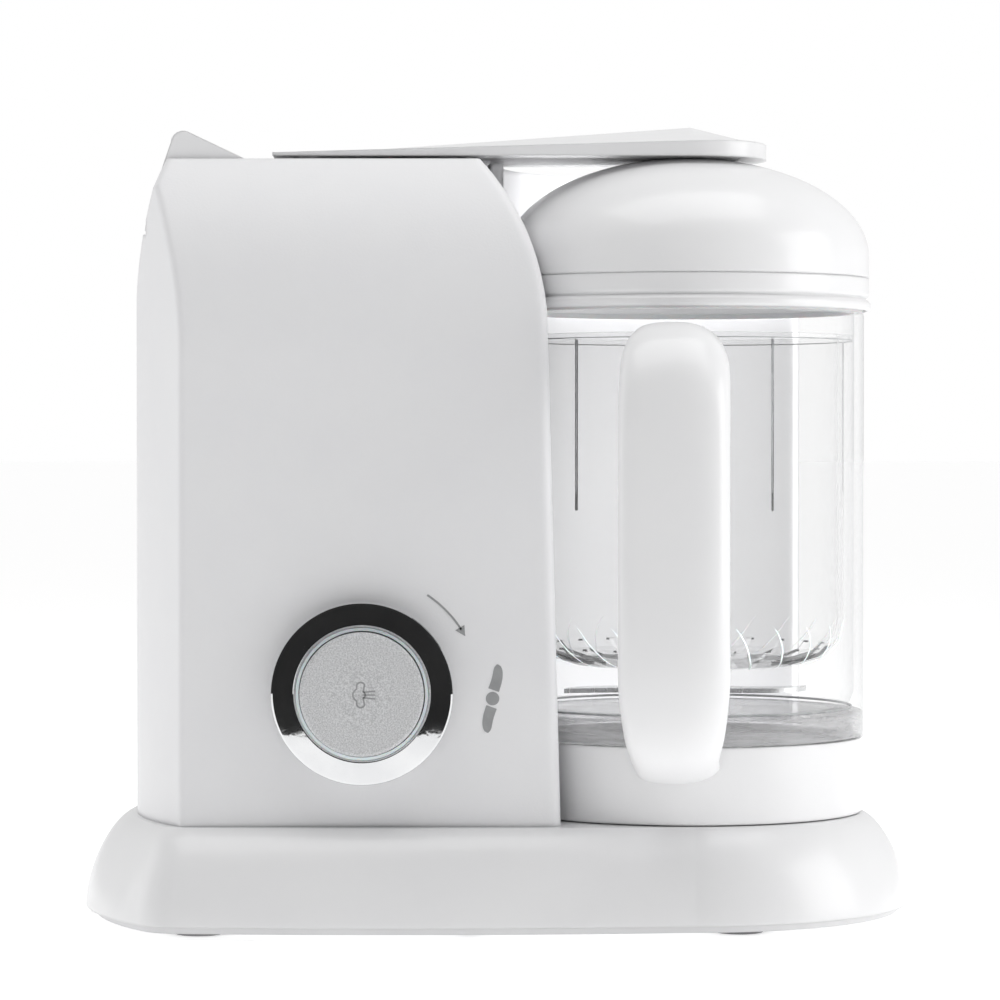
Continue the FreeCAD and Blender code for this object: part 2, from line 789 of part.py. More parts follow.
def handle_parts():
    bow = handle_bow()
    strip = bow.common(box(bowl_x - 9, bowl_x + 9, -80, -60, 80, 150))
    strip = strip.common(box(bowl_x - 9, bowl_x + 9, bowl_y - 81.5, bowl_y - 60, 80, 150))
    grip = bow.cut(strip)
    for z in (88.0, 142.0):
        strip = strip.cut(rod_y(2.4, bowl_y - 83, -50, bowl_x, z))
    return on_bowl(grip, handle_turn), on_bowl(strip, handle_turn)


def handle_screws():
    screws = []
    for z in (88.0, 142.0):
        screw = rod_y(2.4, bowl_y - 81.3, bowl_y - 79.5, bowl_x, z)
        screws.append(on_bowl(screw, handle_turn))
    return group(screws)


# ---------------------------------------------------------------- basket

def basket():
    """Steaming basket with a slotted bottom and five ribs."""
    r = 48.7
    wall = 1.6
    outer = turned([(0, 77), (34.7, 77), (42, 79.2), (47, 84.5), (r, 91), (r, 176.8), (51.3, 176.8),
                    (51.3, 178.4), (0, 178.4)], bowl_x, bowl_y)
    inner = turned([(0, 77 + wall), (34.2, 77 + wall), (41.2, 80.6), (45.8, 85.6), (r - wall, 91.5),
                    (r - wall, 180), (0, 180)], bowl_x, bowl_y)
    pot = outer.cut(inner)
    for step in range(24):
        slot = box(bowl_x + 30, bowl_x + 45, bowl_y - 1.3, bowl_y + 1.3, 70, 83)
        pot = pot.cut(on_bowl(slot, step * 15))
    for step in range(5):
        rib = box(bowl_x + r - 0.3, bowl_x + r + 1.3, bowl_y - 0.6, bowl_y + 0.6, 125, 176.8)
        pot = pot.fuse(on_bowl(rib, 226 + step * 72))
    return pot


# ---------------------------------------------------------------- lid

def dome(radius, height, low_z, spring_z, top_z):
    """A quarter ellipse turned about the jug's axis, above a short upright wall."""
    def at(r, z):
        return vec(bowl_x + r, bowl_y, z)

    steps = 12
    places = []
    for step in range(steps + 1):
        angle = math.pi / 2 * step / steps
        places.append(at(radius * math.cos(angle), spring_z + height * math.sin(angle)))
    curve = Part.BSplineCurve()
    curve.interpolate(places)
    edges = [
        line(at(0, low_z), at(radius, low_z)),
        line(at(radius, low_z), places[0]),
        curve.toShape(),
        line(places[-1], at(0, low_z)),
    ]
    solid = Part.Face(Part.Wire(edges)).revolve(vec(bowl_x, bowl_y, 0), vec(0, 0, 1), 360)
    return solid.cut(box(-20, 140, -80, 100, top_z, top_z + 40))


def lid_dome():
    shell = dome(lid_r, 30.6, 196.0, 202.6, lid_top_z)
    shell = shell.cut(dome(lid_r - 2.4, 28.2, 190.0, 202.6, lid_top_z - 2.4))
    return shell.cut(rod_z(7.0, 220, 240, bowl_x, bowl_y))


def lid_ring():
    """Rim of the lid: a rounded bead below the dome."""
    return turned([(50.6, lid_low_z + 0.9), (55.6, lid_low_z + 0.9), (55.6, lid_low_z), (56.1, lid_low_z),
                   (56.9, lid_low_z + 0.9), (56.9, 188.2), (56.0, 189.1), (55.4, 189.4), (55.4, 189.8),
                   (56.2, 190.2), (lid_r, 190.8), (lid_r, 195.6), (56.1, 195.8), (56.1, 196.0),
                   (50.6, 196.0)], bowl_x, bowl_y)


def lid_gasket():
    return ring_z(54.4, 51.2, 185.3, lid_low_z + 0.9, bowl_x, bowl_y)


def lid_port():
    """Steam inlet plug in the middle of the lid."""
    return turned([(2.5, 224), (6.0, 224), (7.0, 226), (7.0, 232.0), (2.5, 232.0)], bowl_x, bowl_y)


# ---------------------------------------------------------------- control knob

def blend_ring():
    """Turning ring: a flat polished face on a hollow stem."""
    seat = tower_front_y - 0.4
    face = seat - 7.6
    ring = turned_y([(19.5, seat), (26.2, seat), (26.2, seat - 0.6), (knob_ring_r, seat - 1.2),
                     (knob_ring_r, face + 0.7), (26.7, face + 0.2), (26.2, face),
                     (20.3, face), (19.8, face + 0.2), (19.5, face + 0.7)], knob_x, knob_z)
    back = ring_y(20.0, 8.4, seat - 2.0, seat, knob_x, knob_z)
    stem = ring_y(11.0, 8.4, seat - 0.5, -28.0, knob_x, knob_z)
    return ring.fuse([back, stem])


def light_ring():
    return ring_y(19.5, 18.6, knob_front_y + 2.4, tower_front_y - 2.4, knob_x, knob_z)


def steam_button():
    top = knob_front_y - 1.0
    cap = turned_y([(0, tower_front_y - 6.4), (button_r, tower_front_y - 6.4), (button_r, top + 0.9),
                    (button_r - 0.9, top), (0, top - 0.4)], knob_x, knob_z)
    return cap.fuse(rod_y(4.0, tower_front_y - 7, -27.0, knob_x, knob_z))


def button_spring():
    return ring_y(6.2, 4.4, -37.0, -24.5, knob_x, knob_z)


def switch_body():
    body = box(knob_x - 16, knob_x + 16, -24.0, -8.0, knob_z - 16, knob_z + 16)
    return body.fuse(box(knob_x - 22, knob_x + 22, -10.0, -8.0, knob_z - 8, knob_z + 8))


def control_board():
    board = box(-99, -97.4, -12, 46, 60, 130)
    for y, z, size in ((-4, 72, 10), (14, 78, 14), (30, 100, 9), (4, 112, 8)):
        board = board.fuse(box(-97.4, -97.4 + size * 0.7, y, y + size, z, z + size))
    return board


def interlock_switch():
    body = box(15, 29, 5, 18, 22, 29)
    return body.fuse(rod_z(1.5, 29, 31.4, 22, bowl_y))


def main():
    front_cover, rear_shell = tower_covers()
    grip, strip = handle_parts()
    export("base_shell", base_shell())
    export("bottom_plate", bottom_plate())
    export("rubber_feet", rubber_feet())
    export("case_screws", case_screws())
    export("cord_gland", cord_gland())
    export("bowl_seat", bowl_seat())
    export("tower_front_cover", front_cover)
    export("tower_rear_shell", rear_shell)
    export("tower_deck", tower_deck())
    export("arm_hinge_pin", arm_hinge_pin())
    export("release_lever", release_lever())
    export("lever_pin", lever_pin())
    export("lever_spring", lever_spring())
    export("arm_cover", arm_cover())
    export("arm_lugs", arm_lugs())
    export("arm_plate", arm_plate())
    export("steam_channel", steam_channel())
    export("boiler_body", boiler_body())
    export("filler_gasket", filler_gasket())
    export("heating_element", heating_element())
    export("thermostat", thermostat())
    export("boiler_bracket", boiler_bracket())
    export("motor_housing", motor_housing())
    export("motor_stator", motor_stator())
    export("motor_plate", motor_plate())
    export("motor_bushes", motor_bushes())
    export("armature", armature())
    export("motor_shaft", motor_shaft())
    export("commutator", commutator())
    export("motor_fan", motor_fan())
    export("small_pulley", pulley(small_pulley_r, 3.0, motor_x, motor_y))
    export("drive_belt", drive_belt())
    export("large_pulley", pulley(large_pulley_r, 4.0, bowl_x, bowl_y))
    export("bearing_housing", bearing_housing())
    export("spindle_bearing", spindle_bearing())
    export("spindle", spindle())
    export("drive_dog", drive_dog())
    export("driven_dog", driven_dog())
    export("bowl_collar", bowl_collar())
    export("bowl_glass", bowl_glass())
    export("blade_bush", blade_bush())
    export("blade_shaft", blade_shaft())
    export("blade_hub", blade_hub())
    export("blade", blade())
    export("blade_spacer", blade_spacer())
    export("handle_grip", grip)
    export("handle_strip", strip)
    export("handle_screws", handle_screws())
    export("basket", basket())
    export("lid_dome", lid_dome())
    export("lid_ring", lid_ring())
    export("lid_gasket", lid_gasket())
    export("lid_port", lid_port())
    export("blend_ring", blend_ring())
    export("light_ring", light_ring())
    export("steam_button", steam_button())
    export("button_spring", button_spring())
    export("switch_body", switch_body())
    export("control_board", control_board())
    export("interlock_switch", interlock_switch())


main()
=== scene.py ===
import json
import math

import bmesh
import bpy
from mathutils import Matrix, Vector


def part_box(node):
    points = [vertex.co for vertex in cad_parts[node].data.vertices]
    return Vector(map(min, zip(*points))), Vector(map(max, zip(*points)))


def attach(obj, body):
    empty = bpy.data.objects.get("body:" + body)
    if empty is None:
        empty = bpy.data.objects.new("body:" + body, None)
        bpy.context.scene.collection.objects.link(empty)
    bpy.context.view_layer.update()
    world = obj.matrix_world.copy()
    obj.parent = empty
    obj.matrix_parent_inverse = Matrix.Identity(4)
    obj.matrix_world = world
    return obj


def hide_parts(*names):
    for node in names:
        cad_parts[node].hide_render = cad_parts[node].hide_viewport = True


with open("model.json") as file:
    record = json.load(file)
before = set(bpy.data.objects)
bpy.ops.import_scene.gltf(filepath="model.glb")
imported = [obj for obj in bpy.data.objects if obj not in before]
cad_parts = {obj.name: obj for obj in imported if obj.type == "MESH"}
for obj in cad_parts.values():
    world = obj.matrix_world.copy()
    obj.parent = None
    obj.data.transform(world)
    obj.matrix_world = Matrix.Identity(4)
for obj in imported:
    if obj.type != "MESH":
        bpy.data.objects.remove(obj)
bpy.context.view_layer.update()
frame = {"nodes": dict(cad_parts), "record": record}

MM = 0.001
MARK_THICK = 0.00012       # thickness of a printed mark, in metres

# sockets of a Mix node, for colours and for plain numbers
COLOUR_A, COLOUR_B, COLOUR_OUT = 6, 7, 2
NUMBER_A, NUMBER_B, NUMBER_OUT = 2, 3, 0


# ---------------------------------------------------------------- places, from the frame

def middle(node):
    low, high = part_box(node)
    return (low + high) / 2


bowl_axis = middle("bowl_glass")
knob_centre = middle("blend_ring")
front_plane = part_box("tower_front_cover")[0].y
button_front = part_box("steam_button")[0].y


# ---------------------------------------------------------------- materials

def node(tree, kind, **values):
    """A new node; each value is one of its settings, or else the input of that name."""
    made = tree.nodes.new(kind)
    for name, value in values.items():
        if hasattr(made, name):
            setattr(made, name, value)
        else:
            made.inputs[name.replace("_", " ")].default_value = value
    return made


def noise(tree, scale, detail, stretch=None):
    """Noise in the part's own coordinates; scale is in waves per metre."""
    place = node(tree, "ShaderNodeTexCoord")
    source = place.outputs["Object"]
    if stretch:
        mapping = node(tree, "ShaderNodeMapping")
        mapping.inputs["Scale"].default_value = stretch
        tree.links.new(source, mapping.inputs["Vector"])
        source = mapping.outputs["Vector"]
    wave = node(tree, "ShaderNodeTexNoise", Scale=scale, Detail=detail)
    tree.links.new(source, wave.inputs["Vector"])
    return wave.outputs["Fac"]


def spread(tree, source, low, high):
    """Map the middle range of a noise, 0.3 to 0.7, onto low to high."""
    ranged = node(tree, "ShaderNodeMapRange")
    ranged.inputs["From Min"].default_value = 0.3
    ranged.inputs["From Max"].default_value = 0.7
    ranged.inputs["To Min"].default_value = low
    ranged.inputs["To Max"].default_value = high
    tree.links.new(source, ranged.inputs["Value"])
    return ranged.outputs["Result"]


def finish_material(name, colour, other, rough, grain, grain_depth, mottle=14.0,
                    round_edge=0.0, stretch=None, edge_colour=None, **sockets):
    """A surface with mottled colour, uneven gloss, fine grain, softened edges, and a second colour
    on sharp convex edges if one is given.
    """
    made = bpy.data.materials.new(name)
    made.use_nodes = True
    tree = made.node_tree
    shader = tree.nodes["Principled BSDF"]
    for socket, value in sockets.items():
        shader.inputs[socket.replace("_", " ")].default_value = value

    ramp = node(tree, "ShaderNodeValToRGB")
    ramp.color_ramp.elements[0].position = 0.35
    ramp.color_ramp.elements[0].color = (*colour, 1)
    ramp.color_ramp.elements[1].position = 0.65
    ramp.color_ramp.elements[1].color = (*other, 1)
    tree.links.new(noise(tree, mottle, 4.0), ramp.inputs["Fac"])
    tint = ramp.outputs["Color"]
    # a second colour where the surface is sharp and convex, found from pointiness
    if edge_colour:
        edge = node(tree, "ShaderNodeNewGeometry")
        sharp = node(tree, "ShaderNodeMapRange")
        sharp.inputs["From Min"].default_value = 0.52
        sharp.inputs["From Max"].default_value = 0.62
        tree.links.new(edge.outputs["Pointiness"], sharp.inputs["Value"])
        blend = node(tree, "ShaderNodeMix", data_type="RGBA")
        tree.links.new(sharp.outputs["Result"], blend.inputs["Factor"])
        tree.links.new(tint, blend.inputs[COLOUR_A])
        blend.inputs[COLOUR_B].default_value = (*edge_colour, 1)
        tint = blend.outputs[COLOUR_OUT]
    tree.links.new(tint, shader.inputs["Base Color"])

    gloss = spread(tree, noise(tree, mottle * 3, 5.0, stretch), rough[0], rough[1])
    tree.links.new(gloss, shader.inputs["Roughness"])

    bump = node(tree, "ShaderNodeBump", Strength=grain_depth)
    bump.inputs["Distance"].default_value = 0.0004
    tree.links.new(noise(tree, grain, 2.0, stretch), bump.inputs["Height"])
    if round_edge:
        soft = node(tree, "ShaderNodeBevel", samples=6, Radius=round_edge)
        tree.links.new(soft.outputs["Normal"], bump.inputs["Normal"])
    tree.links.new(bump.outputs["Normal"], shader.inputs["Normal"])
    return made


def clear_material(name, facing, grazing, clear, edge, rough, grain, streaks=None):
    """Thin clear plastic: open face on, tinted and closed where the wall is seen edge on."""
    made = finish_material(name, facing, facing, rough, grain, 0.04, mottle=25, IOR=1.45)
    tree = made.node_tree
    shader = tree.nodes["Principled BSDF"]
    weight = node(tree, "ShaderNodeLayerWeight", Blend=0.5)
    shape = node(tree, "ShaderNodeMath", operation="POWER")
    shape.inputs[1].default_value = 5.0
    tree.links.new(weight.outputs["Facing"], shape.inputs[0])
    tint = node(tree, "ShaderNodeMix", data_type="RGBA")
    tint.inputs[COLOUR_A].default_value = (*facing, 1)
    tint.inputs[COLOUR_B].default_value = (*grazing, 1)
    tree.links.new(shape.outputs[0], tint.inputs["Factor"])
    tree.links.new(tint.outputs[COLOUR_OUT], shader.inputs["Base Color"])
    closed = node(tree, "ShaderNodeMapRange")
    closed.inputs["To Min"].default_value = clear
    closed.inputs["To Max"].default_value = edge
    tree.links.new(shape.outputs[0], closed.inputs["Value"])
    alpha = closed.outputs["Result"]
    if streaks:
        band = spread(tree, noise(tree, streaks, 5.0, (0.12, 0.12, 1.0)), 0.55, 1.0)
        times = node(tree, "ShaderNodeMath", operation="MULTIPLY")
        tree.links.new(alpha, times.inputs[0])
        tree.links.new(band, times.inputs[1])
        alpha = times.outputs[0]
    tree.links.new(alpha, shader.inputs["Alpha"])
    return made


def make_materials():
    made = {}
    made["white_gloss"] = finish_material(
        "white_gloss", (0.842, 0.842, 0.85), (0.852, 0.852, 0.858), (0.29, 0.305), 2600, 0.03,
        mottle=60, round_edge=0.0013, Coat_Weight=0.25, Coat_Roughness=0.12, Specular_IOR_Level=0.5)
    made["tower_white"] = finish_material(
        "tower_white", (0.812, 0.812, 0.825), (0.822, 0.822, 0.832), (0.36, 0.42), 1500, 0.10,
        mottle=60, round_edge=0.0026, Coat_Weight=0.08, Coat_Roughness=0.25)
    made["white_satin"] = finish_material(
        "white_satin", (0.76, 0.76, 0.77), (0.80, 0.80, 0.805), (0.42, 0.54), 1600, 0.14,
        round_edge=0.0006)
    made["clear_bowl"] = clear_material(
        "clear_bowl", (0.95, 0.96, 0.97), (0.45, 0.46, 0.48), 0.02, 0.75, (0.02, 0.06), 60)
    made["clear_basket"] = clear_material(
        "clear_basket", (0.95, 0.955, 0.96), (0.86, 0.87, 0.88), 0.05, 0.5, (0.3, 0.4), 500)
    made["streaky_floor"] = clear_material(
        "streaky_floor", (0.62, 0.62, 0.63), (0.6, 0.6, 0.61), 0.5, 0.9, (0.1, 0.2), 200,
        streaks=900)
    made["grey_rubber"] = finish_material(
        "grey_rubber", (0.20, 0.20, 0.205), (0.27, 0.27, 0.275), (0.65, 0.85), 1800, 0.35,
        mottle=60)
    made["pale_silicone"] = finish_material(
        "pale_silicone", (0.66, 0.67, 0.68), (0.74, 0.745, 0.75), (0.45, 0.6), 1200, 0.15,
        Subsurface_Weight=0.2, Subsurface_Scale=0.002)
    made["polished_chrome"] = finish_material(
        "polished_chrome", (0.72, 0.725, 0.735), (0.80, 0.805, 0.81), (0.015, 0.03), 300, 0.01,
        mottle=50, Metallic=1.0)
    made["satin_silver"] = finish_material(
        "satin_silver", (0.50, 0.505, 0.515), (0.76, 0.765, 0.775), (0.34, 0.46), 4200, 0.6,
        mottle=2400, Metallic=0.25)
    made["light_guide"] = finish_material(
        "light_guide", (0.86, 0.87, 0.88), (0.92, 0.925, 0.93), (0.2, 0.3), 900, 0.05,
        Subsurface_Weight=0.3, Subsurface_Scale=0.002)
    made["black_plastic"] = finish_material(
        "black_plastic", (0.012, 0.012, 0.013), (0.03, 0.03, 0.032), (0.45, 0.6), 1800, 0.25,
        mottle=70, edge_colour=(0.10, 0.10, 0.10))
    made["grey_plastic"] = finish_material(
        "grey_plastic", (0.30, 0.31, 0.32), (0.38, 0.39, 0.40), (0.42, 0.56), 1400, 0.2, mottle=60,
        edge_colour=(0.5, 0.5, 0.5))
    made["blade_steel"] = finish_material(
        "blade_steel", (0.55, 0.555, 0.565), (0.68, 0.685, 0.69), (0.16, 0.30), 700, 0.15, mottle=40,
        stretch=(12.0, 1.0, 1.0), Metallic=1.0)
    made["boiler_steel"] = finish_material(
        "boiler_steel", (0.50, 0.50, 0.505), (0.62, 0.62, 0.625), (0.24, 0.38), 500, 0.15, mottle=40,
        stretch=(1.0, 1.0, 14.0), Metallic=1.0)
    made["zinc_screw"] = finish_material(
        "zinc_screw", (0.50, 0.51, 0.53), (0.62, 0.62, 0.64), (0.25, 0.4), 900, 0.2,
        mottle=200, Metallic=1.0)
    made["dark_steel"] = finish_material(
        "dark_steel", (0.11, 0.11, 0.115), (0.18, 0.18, 0.185), (0.4, 0.6), 400, 0.3, mottle=60,
        stretch=(1.0, 1.0, 30.0), Metallic=0.9)
    made["copper"] = finish_material(
        "copper", (0.62, 0.30, 0.16), (0.74, 0.40, 0.24), (0.2, 0.35), 800, 0.2, mottle=80,
        stretch=(1.0, 1.0, 20.0), Metallic=1.0)
    made["bronze"] = finish_material(
        "bronze", (0.45, 0.30, 0.14), (0.58, 0.40, 0.20), (0.35, 0.5), 1500, 0.3,
        mottle=200, Metallic=1.0)
    made["board_green"] = finish_material(
        "board_green", (0.01, 0.10, 0.045), (0.02, 0.15, 0.07), (0.3, 0.45), 600, 0.2, mottle=120)
    made["print_grey"] = finish_material(
        "print_grey", (0.29, 0.295, 0.30), (0.34, 0.345, 0.35), (0.4, 0.5), 1500, 0.1, mottle=200)
    made["bent_light"] = finish_material(
        "bent_light", (0.40, 0.41, 0.42), (0.55, 0.56, 0.57), (0.2, 0.3), 900, 0.05, mottle=300)
    return made


materials = make_materials()
tower_nodes = ("tower_front_cover", "tower_rear_shell")


def dress_cad():
    """Give each CAD node its slot's material; the clear nodes cast no shadow."""
    slots = {part["node"]: part["material_slot"] for part in frame["record"]["subparts"]}
    for name, shown in frame["nodes"].items():
        slot = slots[name]
        if name in tower_nodes:
            slot = "tower_white"
        for index in range(len(shown.material_slots)):
            shown.material_slots[index].material = materials[slot]
        if slot in ("clear_bowl", "clear_basket"):
            shown.visible_shadow = False


# ---------------------------------------------------------------- mesh helpers

def piece_from(name, mesh_data, slot, body, paint=None, smooth=True):
    """A piece that rides on a body; paint is its material where that isn't the slot's own."""
    mesh = bpy.data.meshes.new(name)
    mesh_data.to_mesh(mesh)
    mesh_data.free()
    made = bpy.data.objects.new(name, mesh)
    bpy.context.collection.objects.link(made)
    mesh.materials.append(materials[paint or slot])
    for face in mesh.polygons:
        face.use_smooth = smooth
    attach(made, body)
    return made


def catmull(points, share):
    """A point on the smooth curve through all points, share 0 to 1 along it."""
    place = share * (len(points) - 1)
    index = min(int(place), len(points) - 2)
    t = place - index
    before = points[max(index - 1, 0)]
    a = points[index]
    b = points[index + 1]
    after = points[min(index + 2, len(points) - 1)]
    result = []
    for p, q, r, s in zip(before, a, b, after):
        result.append(0.5 * (2 * q + (r - p) * t + (2 * p - 5 * q + 4 * r - s) * t ** 2
                             + (3 * q - p - 3 * r + s) * t ** 3))
    return result


def squircle(angle, power):
    """A point on a rounded rectangle with half sides of 1."""
    c = math.cos(angle)
    s = math.sin(angle)
    return (math.copysign(abs(c) ** (2 / power), c), math.copysign(abs(s) ** (2 / power), s))


def skin(mesh_data, rings):
    """Faces between rings of vertices, with flat ends."""
    count = len(rings[0])
    for ring, after in zip(rings, rings[1:]):
        for step in range(count):
            following = (step + 1) % count
            mesh_data.faces.new((ring[step], ring[following], after[following], after[step]))
    mesh_data.faces.new(list(reversed(rings[0])))
    mesh_data.faces.new(rings[-1])
    bmesh.ops.recalc_face_normals(mesh_data, faces=mesh_data.faces)


# ---------------------------------------------------------------- handle

def handle():
    """A smooth bow from under the lid, down in front of the jug and back into its collar."""
    # radius from the jug's axis, height, half thickness, half width, squareness
    stations = [
        (54.9, 172.0, 8.6, 13.0, 2.0), (63, 172.0, 8.8, 13.2, 2.0), (72, 171.2, 9.0, 14.0, 2.1),
        (80.5, 167.5, 9.2, 15.5, 2.3), (86.2, 158.0, 9.0, 16.0, 3.0), (88.0, 144.0, 8.7, 16.0, 3.6),
        (88.3, 118.0, 8.5, 16.0, 3.8), (88.0, 92.0, 8.5, 16.0, 3.6), (86.8, 75.0, 8.6, 16.0, 3.1),
        (82.5, 62.0, 8.4, 14.6, 2.4), (74.0, 54.6, 7.2, 12.8, 2.1), (64, 50.8, 5.6, 12.2, 2.1),
        (54.2, 49.6, 4.6, 12.2, 2.1)]
    handle_turn = -5.0         # degrees about the jug's axis, towards the tower
    turn = Matrix.Rotation(math.radians(handle_turn), 4, "Z")
    centre = Vector((bowl_axis.x, bowl_axis.y, 0))
    mesh_data = bmesh.new()
    rings = []
    count = 72
    corners = 40
    nearby = 0.004
    for step in range(count + 1):
        share = step / count
        r, z, thick, wide, square = catmull(stations, share)
        ahead = catmull(stations, min(share + nearby, 1.0))
        behind = catmull(stations, max(share - nearby, 0.0))
        along = Vector((ahead[0] - behind[0], ahead[1] - behind[1])).normalized()
        outward = (-along.y, along.x)
        ring = []
        for corner in range(corners):
            angle = 2 * math.pi * corner / corners
            # the outer left edge is crisper than the others
            crisp = 1.6 if math.cos(angle) < 0 and math.sin(angle) > 0 else 0.8
            across, out = squircle(angle, max(square * crisp, 2.0))
            reach = r + outward[0] * out * thick
            place = Vector((across * wide, -reach, z + outward[1] * out * thick))
            ring.append(mesh_data.verts.new(centre + turn @ (place * MM)))
        rings.append(ring)
    skin(mesh_data, rings)
    made = piece_from("handle_bow", mesh_data, "white_gloss", "bowl")
    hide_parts("handle_grip", "handle_strip", "handle_screws")


# ---------------------------------------------------------------- jug and basket

def around_jug(angle, r, z, aside):
    """A point at an angle in degrees about the jug's axis, moved aside along the wall.

    Takes millimetres and gives metres."""
    turn = math.radians(angle)
    x = r * math.cos(turn) - aside * math.sin(turn)
    y = r * math.sin(turn) + aside * math.cos(turn)
    return (bowl_axis.x + x * MM, bowl_axis.y + y * MM, z * MM)


def ring_piece(name, profile, slot, paint):
    """A closed (radius, height) outline in millimetres, turned about the jug's axis."""
    mesh_data = bmesh.new()
    count = 128
    rings = []
    for step in range(count):
        angle = 360 * step / count
        rings.append([mesh_data.verts.new(around_jug(angle, r, z, 0)) for r, z in profile])
    for step in range(count):
        ring = rings[step]
        after = rings[(step + 1) % count]
        for corner in range(len(profile)):
            following = (corner + 1) % len(profile)
            mesh_data.faces.new((ring[corner], ring[following], after[following], after[corner]))
    bmesh.ops.recalc_face_normals(mesh_data, faces=mesh_data.faces)
    piece_from(name, mesh_data, slot, "bowl", paint=paint)


def ribbon(mesh_data, stations, thick):
    """A thin closed strip through stations of angle, radius, height and half width."""
    rings = []
    for angle, r, z, half in stations:
        ring = []
        for out, aside in ((0, -half), (0, half), (thick, half), (thick, -half)):
            ring.append(mesh_data.verts.new(around_jug(angle, r + out, z, aside)))
        rings.append(ring)
    skin(mesh_data, rings)


def rib_shades():
    """Dark lines that taper downwards, where the basket's five ribs bend the light."""
    ribs = 5
    first_angle = 226
    face_r = 50.05
    top = 176.4
    length = 46
    steps = 8
    for rib in range(ribs):
        angle = first_angle + 360 / ribs * rib
        mesh_data = bmesh.new()
        stations = []
        for step in range(steps + 1):
            share = step / steps
            stations.append((angle, face_r, top - length * share, 0.34 - 0.24 * share))
        ribbon(mesh_data, stations, 0.25)
        piece_from("basket_rib_shade%d" % rib, mesh_data, "clear_basket", "bowl",
                   paint="bent_light")


def rim_line():
    """Dark line round the basket's rim, painted where the rim bends the light."""
    outline = [(51.34, 176.7), (51.55, 176.7), (51.55, 177.0), (51.34, 177.0)]
    ring_piece("basket_rim_line", outline, "clear_basket", "bent_light")


def slot_highlights():
    """Pale strips along the swept edges of the steam slots, round the foot of the basket, as one
    piece: a painted highlight where the clear edges catch the light.
    """
    foot = [(48.7, 90.0), (47.2, 84.6), (42.2, 79.0), (36.0, 77.0)]
    count = 24
    sweep = 14
    steps = 9
    mesh_data = bmesh.new()
    for slot in range(count):
        stations = []
        for step in range(steps + 1):
            share = step / steps
            r, z = catmull(foot, share)
            half = 0.10 + 0.16 * math.sin(math.pi * share)
            angle = 360 / count * slot + sweep * share
            stations.append((angle, r + 0.1, z - 0.25, half))
        ribbon(mesh_data, stations, 0.2)
    # painted highlight: pale strips on the clear basket where its slot edges catch the light
    return piece_from("basket_slot_highlights", mesh_data, "clear_basket", "bowl", paint="light_guide")


def jug_floor():
    """The thick foot of the clear jug, where light bends into grey streaks, and a dark line inside
    it, painted where light bends.
    """
    band = [(51.6, 55.4), (54.3, 55.4), (54.5, 56.0), (54.5, 62.2), (54.2, 62.8), (51.6, 62.8)]
    ring_piece("jug_floor_band", band, "clear_bowl", "streaky_floor")
    line = [(50.6, 63.7), (51.2, 63.7), (51.3, 64.3), (50.9, 64.4)]
    ring_piece("jug_floor_line", line, "clear_bowl", "bent_light")


# ---------------------------------------------------------------- printed marks

def flat_mark(name, outline, depth_y, body, centre):
    """A thin printed shape on a surface that faces the front; outline in millimetres."""
    mesh_data = bmesh.new()
    back = []
    for x, z in outline:
        back.append(mesh_data.verts.new((centre.x + x * MM, depth_y, centre.z + z * MM)))
    front = [mesh_data.verts.new((v.co.x, depth_y - MARK_THICK, v.co.z)) for v in back]
    mesh_data.faces.new(back)
    mesh_data.faces.new(list(reversed(front)))
    for step in range(len(back)):
        following = (step + 1) % len(back)
        mesh_data.faces.new((back[step], back[following], front[following], front[step]))
    bmesh.ops.recalc_face_normals(mesh_data, faces=mesh_data.faces)
    piece_from(name, mesh_data, "grey_plastic", body, paint="print_grey", smooth=False)


def stroke(points, width):
    """Outline of a line through the points.

    Width is a number, or a function of the share along the line."""
    left = []
    right = []
    for index, (x, z) in enumerate(points):
        ahead = points[min(index + 1, len(points) - 1)]
        behind = points[max(index - 1, 0)]
        dx = ahead[0] - behind[0]
        dz = ahead[1] - behind[1]
        size = math.hypot(dx, dz)
        wide = width(index / (len(points) - 1)) if callable(width) else width
        left.append((x - dz / size * wide / 2, z + dx / size * wide / 2))
        right.append((x + dz / size * wide / 2, z - dx / size * wide / 2))
    return left + list(reversed(right))


def arc_points(radius, first, last, steps, cx=0.0, cz=0.0):
    """Points on an arc between two angles in degrees."""
    made = []
    for step in range(steps + 1):
        angle = math.radians(first + (last - first) * step / steps)
        made.append((cx + radius * math.cos(angle), cz + radius * math.sin(angle)))
    return made


def on_arc(radius, angle):
    """A point at a radius and an angle in degrees."""
    return arc_points(radius, angle, angle, 1)[0]


def turn_arrow():
    """Curved arrow beside the ring, showing that it turns clockwise."""
    arrow_r = 34.6
    line = arc_points(arrow_r, 56.5, 32.5, 14)
    flat_mark("turn_arrow_line", stroke(line, 0.6), front_plane, "base_unit", knob_centre)
    head = [on_arc(arrow_r, 28.8), on_arc(36.1, 33.6), on_arc(33.0, 33.9)]
    flat_mark("turn_arrow_head", head, front_plane, "base_unit", knob_centre)


def blade_symbol():
    """Two swept blades and a hub: the mark for blending."""
    right = 38.4
    below = 1.8
    steps = 12
    spot = Vector((knob_centre.x + right * MM, 0, knob_centre.z - below * MM))
    hub = arc_points(2.0, 0, 345, 23)
    flat_mark("blend_mark_hub", hub, front_plane, "base_unit", spot)
    for index, sign in enumerate((1, -1)):
        spine = []
        for step in range(steps + 1):
            share = step / steps
            x = sign * (0.3 + 2.2 * math.sin(math.pi * share * 0.55) - 1.1 * share)
            z = sign * (2.5 + 7.6 * share)
            spine.append((x, z))
        outline = stroke(spine, lambda s: 3.3 * (1 - 0.12 * s) * math.sqrt(max(1 - s ** 6, 0.02)))
        flat_mark("blend_mark_blade%d" % index, outline, front_plane, "base_unit", spot)


